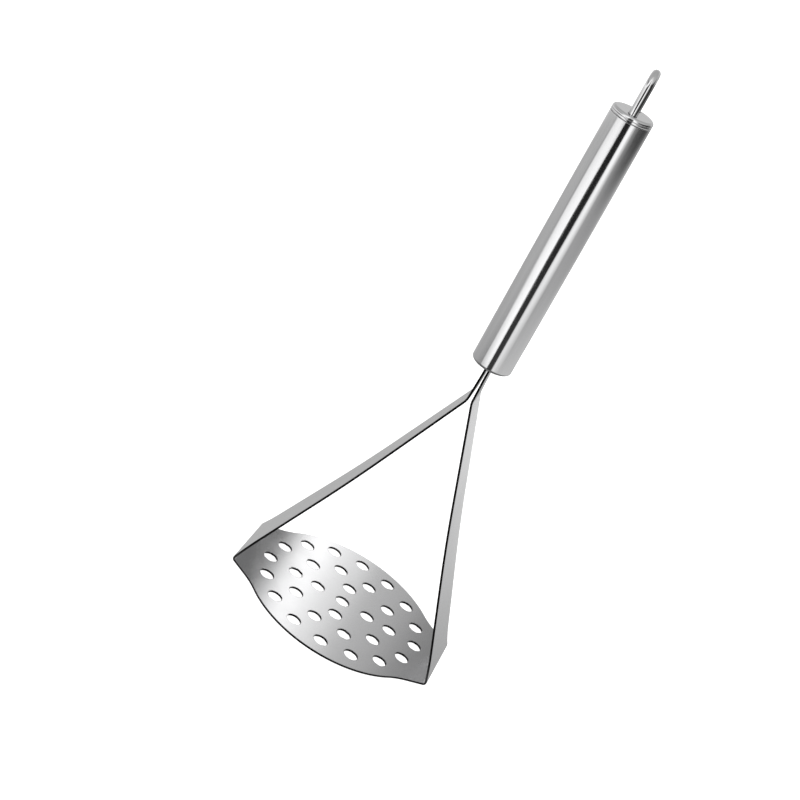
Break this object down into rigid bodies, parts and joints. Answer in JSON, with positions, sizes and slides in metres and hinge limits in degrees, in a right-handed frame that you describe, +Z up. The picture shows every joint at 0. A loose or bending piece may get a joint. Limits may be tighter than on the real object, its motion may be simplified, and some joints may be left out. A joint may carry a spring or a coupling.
{
  "type": "potato masher",
  "caption": "Steel hand potato masher: a flat perforated disc whose bent-up arms meet under a round tubular handle with a wire hanging loop on its end.",
  "frame": {"origin": "centre of the disc, on its underside, where the masher stands and presses", "axes": "+Z up from the disc towards the handle, +X towards one of the two arms' folds, Y across the arms"},
  "size_m": [0.1006, 0.0928, 0.275],
  "materials": {
    "blade_steel": "satin",
    "handle_steel": "fine lengthwise brushing, polished",
    "wire_steel": "polished"
  },
  "bodies": {
    "root": {"masher_blade": "blade_steel", "handle_tube": "handle_steel", "handle_bottom_plug": "handle_steel", "handle_top_cap": "handle_steel", "hanging_loop": "wire_steel"}
  },
  "joints": []
}
